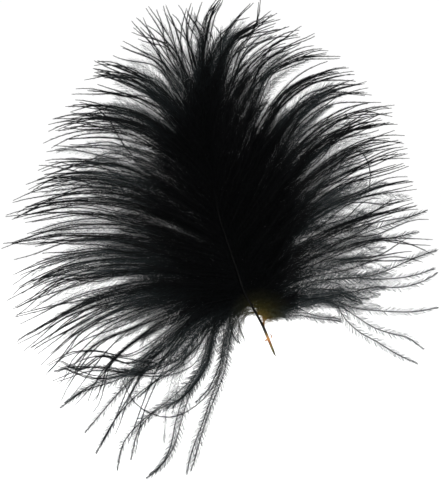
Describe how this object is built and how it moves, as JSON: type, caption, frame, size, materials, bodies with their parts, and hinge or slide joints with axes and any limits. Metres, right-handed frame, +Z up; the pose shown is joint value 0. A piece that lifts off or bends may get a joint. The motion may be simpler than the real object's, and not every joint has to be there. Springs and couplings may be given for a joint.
{
  "type": "marabou plume",
  "caption": "Upright downy plume: hollow quill, tapering shaft with an aftershaft, and soft barbs that fan out on both sides and fold forwards.",
  "frame": {"origin": "centre of the quill's free end, where its round stretch begins", "axes": "+Z up the plume, +X to its right seen from the front, -Y towards the front face; +Y is the vane's thin direction"},
  "size_m": [0.1221, 0.026, 0.1323],
  "materials": {
    "quill": "satin",
    "sheath": "matte",
    "pith": "matte",
    "shaft": "satin",
    "olive_shaft": "satin",
    "olive_barbs": "matte",
    "black_barbs": "matte"
  },
  "bodies": {
    "quill": {"calamus": "quill", "pulp_caps": "pith", "quill_plug": "sheath", "sheath_flakes": "sheath"},
    "shaft": {"rachis": "shaft", "rachis_pith": "pith", "base_fluff_left": "olive_barbs", "base_fluff_right": "olive_barbs"},
    "crown": {"rachis_tip": "shaft", "crown_left_barbs": "black_barbs", "crown_right_barbs": "black_barbs", "crown_tuft": "black_barbs"},
    "aftershaft": {"hyporachis": "olive_shaft", "aftershaft_left_barbs": "black_barbs", "aftershaft_right_barbs": "black_barbs", "aftershaft_top_barbs": "black_barbs"},
    "left_lower": {"left_base_barbs": "black_barbs", "left_lower_barbs": "black_barbs"},
    "left_upper": {"left_middle_barbs": "black_barbs", "left_upper_barbs": "black_barbs"},
    "right_lower": {"right_base_barbs": "black_barbs", "right_lower_barbs": "black_barbs"},
    "right_upper": {"right_middle_barbs": "black_barbs", "right_upper_barbs": "black_barbs"}
  },
  "joints": [
    {"name": "shaft_flex", "type": "hinge", "parent": "quill", "child": "shaft", "pos_m": [-0.00329, 0, 0.00798], "axis": [1, 0, 0], "range_deg": [-25, 25], "stiffness_Nm_per_rad": 0.0006},
    {"name": "aftershaft_flex", "type": "hinge", "parent": "shaft", "child": "aftershaft", "pos_m": [-0.00281, 0.00052, 0.0082], "axis": [-1, 0, 0], "range_deg": [0, 25], "stiffness_Nm_per_rad": 0.00015},
    {"name": "crown_flex", "type": "hinge", "parent": "shaft", "child": "crown", "pos_m": [-0.01903, 0, 0.06745], "axis": [1, 0, 0], "range_deg": [-25, 25], "stiffness_Nm_per_rad": 0.0001},
    {"name": "left_lower_fold", "type": "hinge", "parent": "shaft", "child": "left_lower", "pos_m": [-0.0056, 0, 0.0122], "axis": [-0.3262, 0, 0.9453], "range_deg": [0, 45], "stiffness_Nm_per_rad": 0.00015},
    {"name": "left_upper_fold", "type": "hinge", "parent": "shaft", "child": "left_upper", "pos_m": [-0.0166, 0, 0.046], "axis": [-0.1089, 0, 0.9941], "range_deg": [-10, 45], "stiffness_Nm_per_rad": 0.00015},
    {"name": "right_lower_fold", "type": "hinge", "parent": "shaft", "child": "right_lower", "pos_m": [-0.0056, 0, 0.0122], "axis": [0.3262, 0, -0.9453], "range_deg": [0, 45], "stiffness_Nm_per_rad": 0.00015},
    {"name": "right_upper_fold", "type": "hinge", "parent": "shaft", "child": "right_upper", "pos_m": [-0.0166, 0, 0.046], "axis": [0.1089, 0, -0.9941], "range_deg": [-10, 45], "stiffness_Nm_per_rad": 0.00015}
  ]
}
